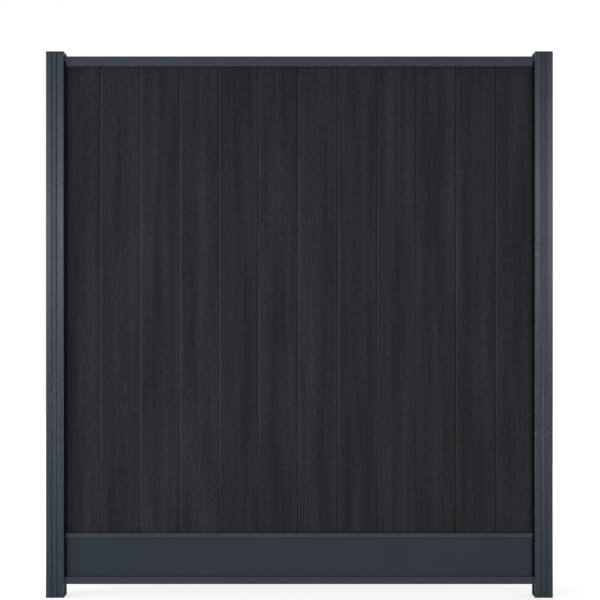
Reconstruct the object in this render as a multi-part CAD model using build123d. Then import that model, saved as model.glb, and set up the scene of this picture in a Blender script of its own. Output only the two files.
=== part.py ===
from build123d import *
import os

# Composite fence panel: two fluted steel posts, a field of upright tongue-and-groove
# boards held between two slotted rails, and a hollow gravel board under them.
# Millimetres. X runs along the panel, the front faces -Y and Z is up. The origin is
# the middle of the ground line.

# Boards
board_count = 12
board_cover = 150.0  # width that one board covers, joint to joint
board_thickness = 20.0
board_length = 1800.0
joint_gap = 0.4  # open line between two boards' edges
bevel_width = 4.5
bevel_depth = 2.5
tongue_reach = 10.0  # past the covered width
tongue_thickness = 6.0
tongue_edge = 1.0  # chamfer on the tongue's tip
groove_fit = 0.3  # play on each side of a tongue and at its tip
board_lap = 15.0  # how far the board field runs in behind the posts

# Posts
channel_reach = 27.0  # from a flange's edge in to the web
web_width = 14.0
flange_depth = 11.0
post_wall = 1.5
post_corner = 3.0
web_corner = 2.0  # inside radius where the web meets a flange
flute_width = 7.5
flute_depth = 4.5
flute_offset = 9.3  # from the middle of the face
flute_lip = 1.8  # bend at the mouth of a flute, over the sheet's thickness
flute_root = 2.0  # bend at its floor
rib_crown = 0.7  # fall of the rib between the flutes, from its middle to its edges
post_rise = 17.0  # post and cap above the top rail

# Post caps
cap_rim = 8.0
cap_edge = 1.5
foot_plate = 4.0
leg_length = 18.0  # a cap's legs, down inside the post
leg_fit = 0.25

# Rails
rail_depth = 48.0
rail_wall = 2.0
rail_corner = 1.5
rail_side_clearance = 2.5
rail_end_clearance = 2.0
board_fit = 0.5  # play on each face of a board in a rail's slot
top_rail_height = 38.0
top_slot_depth = 24.0
top_lap = 18.0  # board ends inside the top rail, with room left to expand
middle_rail_height = 17.0
slot_floor = 3.0
fin_length = 8.0
fin_thickness = 2.0
fin_fit = 0.3

# Gravel board
ground_gap = 49.0  # from the ground up to the gravel board
gravel_height = 176.0
gravel_thickness = 28.0
gravel_wall = 2.0
gravel_lip_height = 28.0
gravel_shelf_rise = 72.0  # from the lip's top up to the inner stiffening shelf

# Seals
seal_reveal = 8.0  # what shows past the post's edge, on the panel's face
seal_flap = 6.5  # what shows past it beside the flange, over the rails' faces
seal_hold = 12.0  # what lies behind the flange
seal_lip = 1.5  # thickness of the edges that show
seal_cove = 2.0  # hollow of the curve between them
seal_rise = 18.0  # how far a seal runs up the top rail's face

# Brackets and screws
bracket_wall = 2.0
bracket_depth = 44.0
bracket_drop = 34.0
bracket_clearance = 1.0  # from the boards' edge and from the flange's edge
bracket_corner = 4.0
screw_radius = 1.75
screw_hole_play = 0.15
screw_head_width = 6.0  # across the corners
screw_head_height = 2.0
screw_reach = 4.0  # shank past the bracket
web_screw_spacing = 26.0  # of the pair that carries the gravel board's weight
web_screw_drop = 20.0  # below what the bracket carries

# Worked out from the sizes above
field_width = board_count * board_cover + tongue_reach
opening = field_width - 2 * board_lap
channel_width = rail_depth + 2 * rail_side_clearance
post_face = web_width + 2 * channel_reach
post_depth = channel_width + 2 * flange_depth
post_centre = (opening + post_face) / 2
web_face = opening / 2 + channel_reach
rail_length = 2 * (web_face - rail_end_clearance)
slot_width = board_thickness + 2 * board_fit
gravel_top = ground_gap + gravel_height
lip_top = ground_gap + gravel_lip_height
middle_rail_top = gravel_top + middle_rail_height
board_foot = gravel_top + slot_floor
top_rail_foot = board_foot + board_length - top_lap
top_rail_top = top_rail_foot + top_rail_height
post_top = top_rail_top + post_rise
post_length = post_top - cap_rim - foot_plate
top_bracket_reach = channel_reach - board_lap - bracket_clearance
gravel_bracket_reach = channel_reach - bracket_clearance

same = 0.01  # corners nearer than this are one corner
SIDES = {"left": -1, "right": 1}
FACES = {"front": -1, "back": 1}


def area(x0, x1, y0, y1):
    """A rectangle between two corners."""
    return Pos((x0 + x1) / 2, (y0 + y1) / 2) * Rectangle(x1 - x0, y1 - y0)


def along_x(section, length):
    """A section drawn in Y and Z, run along X about the middle."""
    return Pos(-length / 2, 0, 0) * extrude(Plane.YZ * section, length)


def flute(face):
    """A soft-cornered groove that runs in from a face at Y = 0."""
    groove = area(-flute_width / 2, flute_width / 2, -flute_root, flute_depth)
    groove = fillet(groove.vertices().group_by(Axis.Y)[-1], flute_root)
    return groove if face < 0 else mirror(groove, Plane.XZ)


def rib_top(half, face):
    """The crowned top of the rib between two flutes, in from a face at Y = 0."""
    crown = ThreePointArc((-half, rib_crown), (0, 0), (half, rib_crown))
    top = make_face([crown, Line((half, rib_crown), (-half, rib_crown))])
    return top if face < 0 else mirror(top, Plane.XZ)


def corners_at(sketch, width, height):
    """The corners that lie at +-width in X and +-height in Y."""
    level = [v for v in sketch.vertices() if abs(abs(v.Y) - height) < same]
    return [v for v in level if abs(abs(v.X) - width) < same]


def post_outline():
    """Outside of the rolled section: two fluted flanges on a narrow web."""
    inner, outer = flute_offset - flute_width / 2, flute_offset + flute_width / 2
    outline = Rectangle(web_width, channel_width + flange_depth)
    for face in FACES.values():
        middle = face * (channel_width + flange_depth) / 2
        outline += Pos(0, middle) * RectangleRounded(post_face, flange_depth, post_corner)
        for side in SIDES.values():
            outline -= Pos(side * flute_offset, face * post_depth / 2) * flute(face)
        outline -= Pos(0, face * post_depth / 2) * area(-inner, inner, -rib_crown, rib_crown)
        outline += Pos(0, face * post_depth / 2) * rib_top(inner, face)
    lips = corners_at(outline, outer, post_depth / 2)
    lips += corners_at(outline, inner, post_depth / 2 - rib_crown)
    outline = fillet(lips, flute_lip)
    return fillet(corners_at(outline, web_width / 2, channel_width / 2), web_corner)


def post(side):
    """A post from its foot plate up to its cap, drilled for the bracket screws."""
    outline = post_outline()
    body = extrude(outline - offset(outline, -post_wall), post_length)
    body = Pos(side * post_centre, 0, foot_plate) * body
    for shank in web_screw_places(side):
        body -= shank * Cylinder(screw_radius + screw_hole_play, 3 * bracket_wall)
    return body


def cap_legs():
    """The five legs of a cap, standing up: one in the web, two in each flange beside the flutes."""
    gap = post_wall + leg_fit
    web_half = web_width / 2 - gap
    legs = area(-web_half, web_half, -channel_width / 2, channel_width / 2)
    for side in SIDES.values():
        for face in FACES.values():
            x = [side * (flute_offset + flute_width / 2 + gap), side * (post_face / 2 - post_corner)]
            y = [face * (channel_width / 2 + gap), face * (post_depth / 2 - gap)]
            legs += area(min(x), max(x), min(y), max(y))
    return extrude(legs, leg_length)


def cap_plate(height):
    """A flush plate over the whole section."""
    return extrude(RectangleRounded(post_face, post_depth, post_corner), height)


def post_cap(side):
    """The cap on top, with an eased upper edge."""
    plate = cap_plate(cap_rim)
    plate = chamfer(plate.faces().sort_by(Axis.Z)[-1].edges(), cap_edge)
    cap = plate + Pos(0, 0, -leg_length) * cap_legs()
    return Pos(side * post_centre, 0, post_top - cap_rim) * cap


def foot_cap(side):
    """The plate that closes the foot."""
    cap = cap_plate(foot_plate) + Pos(0, 0, foot_plate) * cap_legs()
    return Pos(side * post_centre, 0, 0) * cap


def rail_chambers(foot, top):
    """The hollow on each side of a rail's slot."""
    inner = slot_width / 2 + rail_wall
    outer = rail_depth / 2 - rail_wall
    return area(-outer, -inner, foot, top) + area(inner, outer, foot, top)


def rail_block(foot, height):
    """The outside of a rail, before its slot and hollows."""
    return Pos(0, foot + height / 2) * RectangleRounded(rail_depth, height, rail_corner)


def top_rail():
    """The top rail, with a slot below for the board ends and three hollows."""
    slot_top = top_rail_foot + top_slot_depth
    section = rail_block(top_rail_foot, top_rail_height)
    section -= area(-slot_width / 2, slot_width / 2, top_rail_foot - rail_corner, slot_top)
    section -= rail_chambers(top_rail_foot + rail_wall, slot_top)
    half = rail_depth / 2 - rail_wall
    section -= area(-half, half, slot_top + rail_wall, top_rail_top - rail_wall)
    hole = Cylinder(screw_radius + screw_hole_play, 3 * rail_wall)
    places = [place for side in SIDES.values() for place in rail_screw_places(side)]
    return along_x(section, rail_length) - [place * hole for place in places]


def middle_rail():
    """The low rail: a slot above for the boards, two fins down into the gravel board."""
    section = rail_block(gravel_top, middle_rail_height)
    section -= area(-slot_width / 2, slot_width / 2, board_foot, middle_rail_top + rail_corner)
    section -= rail_chambers(gravel_top + rail_wall, middle_rail_top - rail_wall)
    fin_face = gravel_thickness / 2 - gravel_wall - fin_fit
    for face in FACES.values():
        edges = sorted((face * fin_face, face * (fin_face - fin_thickness)))
        section += area(*edges, gravel_top - fin_length, gravel_top + rail_wall)
    return along_x(section, rail_length)


def gravel_board():
    """The hollow gravel board: a proud closed lip, and a body open at the top."""
    half = gravel_thickness / 2 - gravel_wall
    shelf = lip_top + gravel_shelf_rise
    section = rail_block(ground_gap, gravel_lip_height)
    section += area(-gravel_thickness / 2, gravel_thickness / 2, lip_top - gravel_wall, gravel_top)
    lip_half = rail_depth / 2 - gravel_wall
    section -= area(-lip_half, lip_half, ground_gap + gravel_wall, lip_top - gravel_wall)
    section -= area(-half, half, lip_top, shelf)
    section -= area(-half, half, shelf + gravel_wall, gravel_top)
    return along_x(section, rail_length)


def board_section():
    """One board from above: bevelled faces, a groove on its left, a tongue on its right."""
    half = board_thickness / 2
    width = board_cover - joint_gap
    shoulder = half - bevel_depth
    corners = [
        (bevel_width, -half),
        (width - bevel_width, -half),
        (width, -shoulder),
        (width, shoulder),
        (width - bevel_width, half),
        (bevel_width, half),
        (0, shoulder),
        (0, -shoulder),
    ]
    section = make_face(Polyline(*corners, close=True))
    tip = board_cover + tongue_reach - groove_fit
    tongue = area(width - bevel_width, tip, -tongue_thickness / 2, tongue_thickness / 2)
    tongue = chamfer(tongue.vertices().group_by(Axis.X)[-1], tongue_edge)
    groove_half = tongue_thickness / 2 + groove_fit
    return section + tongue - area(-joint_gap, tongue_reach, -groove_half, groove_half)


def board(index):
    """A board in its place, counted from the left."""
    left = -field_width / 2 + index * board_cover
    return Pos(left, 0, board_foot) * extrude(board_section(), board_length)


def seal_section(panel_half):
    """A seal between the right post's front flange and the panel's face, coved where it shows."""
    edge, flange = opening / 2, -channel_width / 2
    shown = (edge - seal_reveal, -panel_half)
    lip = (edge - seal_reveal, -panel_half - seal_lip)
    flap = (edge - seal_flap, flange)
    flap_root = (edge - seal_flap, flange + seal_lip)
    slant = Vector(*flap_root) - Vector(*lip)
    inward = Vector(-slant.Y, slant.X).normalized() * seal_cove
    middle = (Vector(*flap_root) + Vector(*lip)) / 2 + inward
    held = edge + seal_hold
    outline = Polyline(lip, shown, (held, -panel_half), (held, flange), flap, flap_root)
    return make_face([*outline.edges(), ThreePointArc(flap_root, middle, lip)])


def seal(side, face, panel_half, foot, top, rail_faces):
    """A seal in its place, with only its flap over the rails' faces between two heights."""
    section = seal_section(panel_half)
    strip = Pos(0, 0, foot) * extrude(section, top - foot)
    if rail_faces:
        edge = opening / 2
        flap = section & area(edge - seal_reveal, edge + seal_hold, -channel_width / 2, -rail_depth / 2)
        strip += Pos(0, 0, rail_faces[0]) * extrude(flap, rail_faces[1] - rail_faces[0])
    strip = strip if side > 0 else mirror(strip, Plane.YZ)
    return strip if face < 0 else mirror(strip, Plane.XZ)


def rail_screw_places(side):
    """Where a top bracket's upward screws stand, at the top rail's underside."""
    x = side * (web_face - (top_bracket_reach + bracket_wall) / 2)
    y = (slot_width / 2 + rail_depth / 2) / 2
    return [Pos(x, face * y, top_rail_foot) for face in FACES.values()]


def web_screw_places(side):
    """Where the brackets' level screws enter a post: one at the top, a pair at the gravel board."""
    spots = [(0, top_rail_foot), (-web_screw_spacing / 2, ground_gap), (web_screw_spacing / 2, ground_gap)]
    turn = (0, side * 90, 0)
    return [Location((side * web_face, y, foot - web_screw_drop), turn) for y, foot in spots]


def bracket(side, foot, reach, screws_up):
    """An angle: one leg down the web, one leg under what it carries."""
    upright = Box(bracket_wall, bracket_depth, bracket_drop, align=(Align.MIN, Align.CENTER, Align.MAX))
    level = Box(reach, bracket_depth, bracket_wall, align=(Align.MIN, Align.CENTER, Align.MAX))
    corners = upright.edges().filter_by(Axis.X).group_by(Axis.Z)[0]
    angle = chamfer(corners, bracket_corner) + level
    angle = angle if side < 0 else mirror(angle, Plane.YZ)
    angle = Pos(side * web_face, 0, foot) * angle
    hole = Cylinder(screw_radius + screw_hole_play, 3 * bracket_wall)
    for place in screws_up + web_screw_places(side):
        angle -= place * hole
    return angle


def screw():
    """A hexagon-head screw that points up +Z through a bracket whose far face is Z = 0."""
    head = extrude(RegularPolygon(screw_head_width / 2, 6), -screw_head_height)
    shank = Cylinder(screw_radius, bracket_wall + screw_reach, align=(Align.CENTER, Align.CENTER, Align.MIN))
    return Pos(0, 0, -bracket_wall) * (head + shank)


def bracket_screws():
    """All the brackets' screws."""
    places = [place for side in SIDES.values() for place in rail_screw_places(side) + web_screw_places(side)]
    return Compound([place * screw() for place in places])


def save(name, solid):
    export_step(solid, f"parts/{name}.step")


os.makedirs("parts", exist_ok=True)
for name, side in SIDES.items():
    save(f"{name}_post", post(side))
    save(f"{name}_post_cap", post_cap(side))
    save(f"{name}_foot_cap", foot_cap(side))
    save(f"{name}_top_bracket", bracket(side, top_rail_foot, top_bracket_reach, rail_screw_places(side)))
    save(f"{name}_gravel_bracket", bracket(side, ground_gap, gravel_bracket_reach, []))
    for face_name, face in FACES.items():
        over_rails = (gravel_top, top_rail_foot + seal_rise)
        upper = seal(side, face, board_thickness / 2, middle_rail_top, top_rail_foot, over_rails)
        lower = seal(side, face, gravel_thickness / 2, lip_top, gravel_top, None)
        save(f"{name}_{face_name}_upper_seal", upper)
        save(f"{name}_{face_name}_lower_seal", lower)
save("top_rail", top_rail())
save("middle_rail", middle_rail())
save("gravel_board", gravel_board())
for index in range(board_count):
    save(f"board_{index + 1:02d}", board(index))
save("bracket_screws", bracket_screws())
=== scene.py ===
import math

import bpy
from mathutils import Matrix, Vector


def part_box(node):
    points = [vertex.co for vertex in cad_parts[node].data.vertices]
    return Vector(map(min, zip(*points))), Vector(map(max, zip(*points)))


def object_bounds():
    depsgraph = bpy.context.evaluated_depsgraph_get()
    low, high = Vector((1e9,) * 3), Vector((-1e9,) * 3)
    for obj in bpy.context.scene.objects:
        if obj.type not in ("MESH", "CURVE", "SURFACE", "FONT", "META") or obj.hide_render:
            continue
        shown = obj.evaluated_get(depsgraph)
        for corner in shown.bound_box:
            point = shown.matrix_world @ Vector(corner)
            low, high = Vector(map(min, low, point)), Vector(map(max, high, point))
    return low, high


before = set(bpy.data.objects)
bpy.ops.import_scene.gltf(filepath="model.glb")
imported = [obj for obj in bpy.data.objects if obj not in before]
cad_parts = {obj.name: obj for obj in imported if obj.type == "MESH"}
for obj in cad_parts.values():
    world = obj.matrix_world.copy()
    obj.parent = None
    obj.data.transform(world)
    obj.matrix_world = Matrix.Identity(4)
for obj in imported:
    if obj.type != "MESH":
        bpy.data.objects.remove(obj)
CAD_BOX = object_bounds()

# The sizes of the surfaces are real millimetres, and MM turns them to metres. A pattern's
# cell is its size along X, Y and Z.
MM = 0.001
NOISE_SPAN = (0.3, 0.7)  # most of a noise's values lie between these
FULL_SPAN = (0.0, 1.0)

# Boards
BOARD_COVER = 150.0  # from joint to joint
BOARD_TONES = (0.94, 1.06)  # the darkest and the lightest board against their mean
BOARD_PATTERN_STEP = 7.0  # metres, at most, from one board's place in the grain to another's
BEVEL_WIDTH = 4.5
BRUSH_EDGE = 1.0  # over which the brushing begins beside a bevel
SKIN_AND_GROOVE_SHADE = 0.74  # of the unbrushed bevels against the brushed face: partly the smoother skin's own tone, partly painted shade in the V-grooves between boards
GRAIN_DRIFT = (60.0, 60.0, 600.0)  # a slow change of tone
GRAIN_BAND = (38.0, 60.0, 1100.0)
GRAIN_STREAK = (11.0, 30.0, 330.0)
GRAIN_FIBRE = (4.0, 12.0, 24.0)  # drawn coarser, to show: real raised fibres are nearer 1 mm wide
GRAIN_DEPTH = 0.3  # of the brushed relief

# Coatings
PEEL = (3.0, 3.0, 3.0)  # ripple of a sprayed coat, drawn coarser, to show: the real one is nearer 1 mm
PEEL_DEPTH = 0.02
COAT_CLOUD = (140.0, 140.0, 140.0)  # slow change in a sprayed coat's thickness
DIE_LINE = (700.0, 1.6, 1.6)  # along the rails, drawn coarser, to show: real ones are nearer 0.3 mm
DIE_LINE_DEPTH = 0.015
RECESS_SHADE_STEP = (15.0, 17.0)  # off the middle plane, between the set-back face's 14 and the rails' 24: nearer the middle than this, the coat is painted darker as painted shade for the recess

# Moulded plastic, rubber and zinc
SPARK_GRAIN = (1.2, 1.2, 1.2)  # drawn coarser, to show: the real grain is nearer 0.2 mm
SPARK_DEPTH = 0.04
RUBBER_GRAIN = (1.5, 1.5, 40.0)  # drawn coarser, to show: the real die lines are nearer 0.2 mm
ZINC_CLOUD = (2.5, 2.5, 2.5)

# Camera: level, looking along +Y, in metres
CAMERA_AT = (0.0023, -5.5975, 1.1252)
LENS_MM = 88.31
SENSOR_MM = 36.0

# Floor and backdrop, in metres
FLOOR_HALF = 9.0
FLOOR_LIT = 0.80  # reflectance of the pale floor
FLOOR_GLOW = 0.62  # what the backdrop's white adds to the floor close to the object
SHADOW_REACH = (0.15, 0.9)  # where the floor starts to turn, and has turned, to pure white
BACKDROP_TURN = 0.3  # how far behind the object mirrored rays come to show the backdrop in full
WHITE = (1.0, 1.0, 1.0, 1.0)
AMBIENT = 0.37

# Lamps, in watts
STRIP_POWER = 16.0
PANEL_POWER = 52.0
LOW_PANEL_POWER = 7.5
LEFT_POWER = 40.0
RIGHT_POWER = 34.0
LOW_POWER = 15.0
BACK_POWER = 50.0


def linear(hex_colour):
    """An sRGB hex colour as linear red, green and blue."""
    parts = [int(hex_colour[i : i + 2], 16) / 255 for i in (1, 3, 5)]
    return tuple(p / 12.92 if p <= 0.04045 else ((p + 0.055) / 1.055) ** 2.4 for p in parts)


def add(tree, kind, inputs=None, **settings):
    """Adds a node: settings are its own, inputs are values or other nodes' sockets."""
    made = tree.nodes.new(kind)
    for name, value in settings.items():
        setattr(made, name, value)
    for name, value in (inputs or {}).items():
        if isinstance(value, bpy.types.NodeSocket):
            tree.links.new(value, made.inputs[name])
        else:
            made.inputs[name].default_value = value
    return made


def start_material(name, **sockets):
    """A new material with its shader's even values set on the shader itself."""
    made = bpy.data.materials.new(name)
    made.use_nodes = True
    shader = made.node_tree.nodes["Principled BSDF"]
    for socket, value in sockets.items():
        shader.inputs[socket.replace("_", " ")].default_value = value
    return made, made.node_tree, shader


def mottle(tree, cell_mm, at=None, detail=2.0):
    """Noise from 0 to 1 in cells of a real size, at the point on the object or another."""
    if at is None:
        at = add(tree, "ShaderNodeTexCoord").outputs["Object"]
    scale = tuple(1.0 / (size * MM) for size in cell_mm)
    at = add(tree, "ShaderNodeVectorMath", {0: at, 1: scale}, operation="MULTIPLY").outputs[0]
    return add(tree, "ShaderNodeTexNoise", {"Vector": at, "Scale": 1.0, "Detail": detail}).outputs["Fac"]


def shaded(tree, colour, pattern, darkest, lightest, span=NOISE_SPAN):
    """A colour made darker and lighter by a pattern whose values lie in the span."""
    fit = {"From Min": span[0], "From Max": span[1], "To Min": darkest, "To Max": lightest}
    factor = add(tree, "ShaderNodeMapRange", {"Value": pattern, **fit}).outputs["Result"]
    return add(tree, "ShaderNodeVectorMath", {0: colour, "Scale": factor}, operation="SCALE").outputs[0]


def finish(tree, shader, colour, roughness, relief, span=NOISE_SPAN):
    """Links a finish to its shader: a colour, a roughness given as the pattern it follows and
    its values at the span's two ends, and a relief given as its pattern and its depth."""
    pattern, first, last = roughness
    height, depth_mm = relief
    fit = {"From Min": span[0], "From Max": span[1], "To Min": first, "To Max": last}
    rough = add(tree, "ShaderNodeMapRange", {"Value": pattern, **fit})
    bump = add(tree, "ShaderNodeBump", {"Height": height, "Distance": depth_mm * MM, "Strength": 1.0})
    tree.links.new(colour, shader.inputs["Base Color"])
    tree.links.new(rough.outputs["Result"], shader.inputs["Roughness"])
    tree.links.new(bump.outputs["Normal"], shader.inputs["Normal"])


def powder_coated_steel():
    """Rolled steel, sprayed with polyester powder and baked: a satin anthracite skin with
    a faint ripple, which gives the posts their long soft highlight."""
    made, tree, shader = start_material("powder_coated_rolled_steel", IOR=1.5)
    cloud = mottle(tree, COAT_CLOUD)
    colour = shaded(tree, linear("#303944"), cloud, 0.97, 1.03)
    finish(tree, shader, colour, (cloud, 0.28, 0.25), (mottle(tree, PEEL), PEEL_DEPTH))
    return made


def powder_coated_aluminium():
    """Extruded aluminium, sprayed and baked in the same anthracite: the coat softens the
    die lines that run along the rails, and the set-back face is painted a shade darker as painted shade for
    its recess."""
    made, tree, shader = start_material("powder_coated_extruded_aluminium", IOR=1.5, Specular_IOR_Level=0.4)
    at = add(tree, "ShaderNodeTexCoord").outputs["Object"]
    depth = add(tree, "ShaderNodeSeparateXYZ", {0: at}).outputs["Y"]
    reach = add(tree, "ShaderNodeMath", {0: depth}, operation="ABSOLUTE").outputs[0]
    step = {"Value": reach, "From Min": RECESS_SHADE_STEP[0] * MM, "From Max": RECESS_SHADE_STEP[1] * MM}
    proud = add(tree, "ShaderNodeMapRange", step).outputs["Result"]
    # Painted shade: the set-back face takes a darker colour than the proud faces
    recess_painted_shade_tones = {0: proud, 4: linear("#1f2b35"), 5: linear("#313a43")}
    colour = add(tree, "ShaderNodeMix", recess_painted_shade_tones, data_type="VECTOR").outputs[1]
    lines = mottle(tree, DIE_LINE)
    cloud = mottle(tree, COAT_CLOUD)
    colour = shaded(tree, colour, lines, 0.98, 1.02)
    colour = shaded(tree, colour, cloud, 0.97, 1.03)
    finish(tree, shader, colour, (cloud, 0.58, 0.52), (lines, DIE_LINE_DEPTH))
    return made


def moulded_nylon():
    """Injection-moulded nylon caps, coloured through: a spark-eroded mould leaves them
    finely grained and duller than the coated metal."""
    made, tree, shader = start_material("moulded_grained_nylon", IOR=1.53)
    grain = mottle(tree, SPARK_GRAIN)
    colour = shaded(tree, linear("#1b1e22"), grain, 0.96, 1.04)
    finish(tree, shader, colour, (grain, 0.62, 0.54), (grain, SPARK_DEPTH))
    return made


def across_boards(tree, at):
    """Where a point lies across the field of boards: the number of its board, counted from
    the left, and its distance to the nearest joint."""
    across = add(tree, "ShaderNodeSeparateXYZ", {0: at}).outputs["X"]
    from_left = add(tree, "ShaderNodeMath", {0: across, 1: -FIELD_LEFT}, operation="ADD").outputs[0]
    covers = {0: from_left, 1: 1 / (BOARD_COVER * MM)}
    counted = add(tree, "ShaderNodeMath", covers, operation="MULTIPLY").outputs[0]
    number = add(tree, "ShaderNodeMath", {0: counted}, operation="FLOOR").outputs[0]
    folded = {0: from_left, 1: BOARD_COVER * MM / 2}
    return number, add(tree, "ShaderNodeMath", folded, operation="PINGPONG").outputs[0]


def brushed_wood_composite():
    """Wood flour and plastic, extruded and wire-brushed along its length: a dull charcoal
    face with soft light and dark bands, broken streaks and fine raised fibres. The brush
    misses the bevels, which keep the smoother extruded skin and catch a line of light; the bevels are also
    painted darker, partly the skin's own tone and partly painted shade in the V-grooves between boards."""
    made, tree, shader = start_material("brushed_wood_plastic_composite", IOR=1.46, Specular_IOR_Level=0.22)
    at = add(tree, "ShaderNodeTexCoord").outputs["Object"]
    number, to_joint = across_boards(tree, at)
    edge = {"Value": to_joint, "From Min": BEVEL_WIDTH * MM, "From Max": (BEVEL_WIDTH + BRUSH_EDGE) * MM}
    brushed_past_groove_shade = add(tree, "ShaderNodeMapRange", edge).outputs["Result"]
    own = add(tree, "ShaderNodeTexWhiteNoise", {"W": number}, noise_dimensions="1D")
    step = {0: own.outputs["Color"], "Scale": BOARD_PATTERN_STEP}
    step = add(tree, "ShaderNodeVectorMath", step, operation="SCALE").outputs[0]
    at = add(tree, "ShaderNodeVectorMath", {0: at, 1: step}, operation="ADD").outputs[0]
    drift = mottle(tree, GRAIN_DRIFT, at, detail=1.0)
    band = mottle(tree, GRAIN_BAND, at, detail=1.0)
    streak = mottle(tree, GRAIN_STREAK, at, detail=3.0)
    fibre = mottle(tree, GRAIN_FIBRE, at, detail=3.0)
    colour = shaded(tree, linear("#26272d"), own.outputs["Value"], *BOARD_TONES, FULL_SPAN)
    # Darker bevels: partly the unbrushed skin's own tone, partly painted shade in the V-grooves between
    # boards
    colour = shaded(tree, colour, brushed_past_groove_shade, SKIN_AND_GROOVE_SHADE, 1.0, FULL_SPAN)
    colour = shaded(tree, colour, drift, 0.82, 1.18)
    colour = shaded(tree, colour, band, 0.79, 1.21)
    colour = shaded(tree, colour, streak, 0.85, 1.15)
    colour = shaded(tree, colour, fibre, 0.77, 1.23)
    ridges = add(tree, "ShaderNodeMath", {0: streak, 1: fibre}, operation="MULTIPLY").outputs[0]
    ridges = add(tree, "ShaderNodeMath", {0: ridges, 1: brushed_past_groove_shade}, operation="MULTIPLY").outputs[0]
    finish(tree, shader, colour, (brushed_past_groove_shade, 0.37, 0.72), (ridges, GRAIN_DEPTH), FULL_SPAN)
    return made


def extruded_rubber():
    """Black EPDM, extruded: it swallows the light but for a dull sheen on its curve. The black strips
    beside the posts are partly a real seal and partly painted shade, standing where the posts' channels
    fall into shade.
    """
    made, tree, shader = start_material("extruded_black_rubber", IOR=1.5, Specular_IOR_Level=0.15)
    grain = mottle(tree, RUBBER_GRAIN)
    # Near-black colour: the rubber's own, and partly painted shade for the posts' channels
    colour = shaded(tree, linear("#0b0c0e"), grain, 0.9, 1.1)
    finish(tree, shader, colour, (grain, 0.85, 0.75), (grain, SPARK_DEPTH))
    return made


def zinc_plated_steel():
    """Pressed steel, bright zinc plated: a pale bluish metal with faintly clouded gloss."""
    made, tree, shader = start_material("zinc_plated_pressed_steel", Metallic=1.0)
    cloud = mottle(tree, ZINC_CLOUD)
    colour = shaded(tree, linear("#c3c8cc"), cloud, 0.92, 1.05)
    finish(tree, shader, colour, (cloud, 0.42, 0.28), (cloud, PEEL_DEPTH))
    return made


def dress_nodes():
    """Gives every carried-over piece the finish of its real counterpart."""
    steel, aluminium = powder_coated_steel(), powder_coated_aluminium()
    nylon, composite = moulded_nylon(), brushed_wood_composite()
    rubber_and_channel_shade, zinc = extruded_rubber(), zinc_plated_steel()
    endings = {
        "_cap": nylon,
        "_seal": rubber_and_channel_shade,
        "_bracket": zinc,
        "_screws": zinc,
        "_post": steel,
        "_rail": aluminium,
        "gravel_board": aluminium,
    }
    for name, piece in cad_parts.items():
        found = [made for ending, made in endings.items() if name.endswith(ending)]
        piece.data.materials.clear()
        piece.data.materials.append(found[0] if found else composite)


def shows_backdrop(tree, towards_back):
    """1 for rays that show the backdrop: those straight from the camera, and, where they lie
    or run behind the object, those that are mirrored or come through glass."""
    path = add(tree, "ShaderNodeLightPath")
    turned = {0: path.outputs["Is Glossy Ray"], 1: path.outputs["Is Transmission Ray"]}
    turned = add(tree, "ShaderNodeMath", turned, operation="MAXIMUM").outputs[0]
    behind = add(tree, "ShaderNodeMapRange", {"Value": towards_back, "From Max": BACKDROP_TURN})
    behind_only = {0: turned, 1: behind.outputs["Result"]}
    mirrored = add(tree, "ShaderNodeMath", behind_only, operation="MULTIPLY").outputs[0]
    either = {0: path.outputs["Is Camera Ray"], 1: mirrored}
    return add(tree, "ShaderNodeMath", either, operation="MAXIMUM").outputs[0]


def build_world():
    """Even ambient light, with a white backdrop behind the object where it is seen."""
    world = bpy.data.worlds.new("studio")
    bpy.context.scene.world = world
    world.use_nodes = True
    tree = world.node_tree
    tree.nodes.clear()
    way = add(tree, "ShaderNodeTexCoord").outputs["Generated"]
    seen = shows_backdrop(tree, add(tree, "ShaderNodeSeparateXYZ", {0: way}).outputs["Y"])
    ambient = add(tree, "ShaderNodeBackground", {"Color": WHITE, "Strength": AMBIENT})
    backdrop = add(tree, "ShaderNodeBackground", {"Color": WHITE, "Strength": 1.0})
    mixed = add(tree, "ShaderNodeMixShader", {0: seen, 1: ambient.outputs[0], 2: backdrop.outputs[0]})
    add(tree, "ShaderNodeOutputWorld", {"Surface": mixed.outputs[0]})


def white_floor():
    """Matt white board: it takes the object's shadow, and turns to the backdrop's white
    further out."""
    made = bpy.data.materials.new("matt_white_studio_floor")
    made.use_nodes = True
    tree = made.node_tree
    tree.nodes.clear()
    lit = add(tree, "ShaderNodeBsdfDiffuse", {"Color": (FLOOR_LIT, FLOOR_LIT, FLOOR_LIT, 1)})
    at = add(tree, "ShaderNodeTexCoord").outputs["Object"]
    at = add(tree, "ShaderNodeSeparateXYZ", {0: at}).outputs
    seen = shows_backdrop(tree, at["Y"])
    beside = add(tree, "ShaderNodeMath", {0: at["X"]}, operation="ABSOLUTE").outputs[0]
    past = {"From Min": POST_EDGE, "From Max": FLOOR_HALF, "To Max": FLOOR_HALF - POST_EDGE}
    beside = add(tree, "ShaderNodeMapRange", {"Value": beside, **past}).outputs["Result"]
    away = add(tree, "ShaderNodeCombineXYZ", {"X": beside, "Y": at["Y"]}).outputs[0]
    away = add(tree, "ShaderNodeVectorMath", {0: away}, operation="LENGTH").outputs["Value"]
    turn = {"From Min": SHADOW_REACH[0], "From Max": SHADOW_REACH[1], "To Min": FLOOR_GLOW}
    glow = add(tree, "ShaderNodeMapRange", {"Value": away, **turn}).outputs["Result"]
    glow = add(tree, "ShaderNodeMath", {0: seen, 1: glow}, operation="MULTIPLY").outputs[0]
    glow = add(tree, "ShaderNodeEmission", {"Color": WHITE, "Strength": glow})
    both = add(tree, "ShaderNodeAddShader", {0: lit.outputs[0], 1: glow.outputs[0]})
    add(tree, "ShaderNodeOutputMaterial", {"Surface": both.outputs[0]})
    return made


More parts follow.
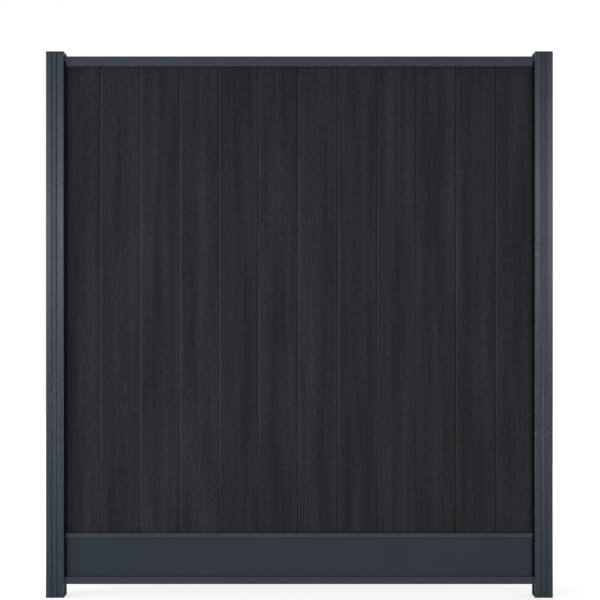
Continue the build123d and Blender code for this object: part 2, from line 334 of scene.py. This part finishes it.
def build_floor():
    """A plain pale floor that keeps the object's shadow."""
    corners = [(x * FLOOR_HALF, y * FLOOR_HALF, 0) for x, y in ((-1, -1), (1, -1), (1, 1), (-1, 1))]
    mesh = bpy.data.meshes.new("studio_floor")
    mesh.from_pydata(corners, [], [(0, 1, 2, 3)])
    floor = bpy.data.objects.new("studio_floor", mesh)
    bpy.context.scene.collection.objects.link(floor)
    mesh.materials.append(white_floor())


def lamp(name, at, towards, size, power):
    """A flat soft lamp of a given width and height that faces a point."""
    light = bpy.data.lights.new(name, "AREA")
    light.shape = "RECTANGLE"
    light.size, light.size_y = size
    light.energy = power
    holder = bpy.data.objects.new(name, light)
    holder.location = at
    holder.rotation_euler = (Vector(towards) - Vector(at)).to_track_quat("-Z", "Y").to_euler()
    bpy.context.scene.collection.objects.link(holder)


def build_lamps():
    """Two softboxes in front, which the posts mirror as their long highlights, a high and a
    low panel to the left, whose light lies along the bevels, three soft fills in front and
    one behind."""
    middle = (0, 0, 0.8)
    for side, height in ((-1, 1.72), (1, 1.79)):
        lamp(f"strip_{side}", (side * 1.95, -6.0, height), (side * 0.92, 0, 1.41), (0.8, 1.4), STRIP_POWER)
    lamp("left_panel", (-4.8, -1.7, 1.85), (-0.4, 0, 1.4), (2.0, 2.4), PANEL_POWER)
    lamp("left_low_panel", (-2.9, -1.2, 0.4), (-0.5, 0, 0.3), (1.2, 0.7), LOW_PANEL_POWER)
    lamp("left_fill", (-4.2, -4.4, 1.3), (0, 0, 1.1), (1.2, 2.4), LEFT_POWER)
    lamp("right_fill", (4.0, -4.6, 0.5), middle, (1.6, 1.6), RIGHT_POWER)
    lamp("low_fill", (0.2, -3.5, 0.35), (0, 0, 0.6), (1.0, 0.5), LOW_POWER)
    lamp("back_fill", (3.0, 3.8, 1.4), middle, (2.2, 2.2), BACK_POWER)


def build_camera():
    """The photograph's view: level, a little above the middle of the panel."""
    camera = bpy.data.cameras.new("camera")
    camera.lens = LENS_MM
    camera.sensor_width = SENSOR_MM
    holder = bpy.data.objects.new("camera", camera)
    holder.location = CAMERA_AT
    holder.rotation_euler = (math.radians(90), 0, 0)
    bpy.context.scene.collection.objects.link(holder)
    bpy.context.scene.camera = holder


FIELD_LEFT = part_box("board_01")[0].x
POST_EDGE = CAD_BOX[1].x

dress_nodes()
build_world()
build_floor()
build_lamps()
build_camera()
bpy.context.scene.view_settings.view_transform = "Standard"
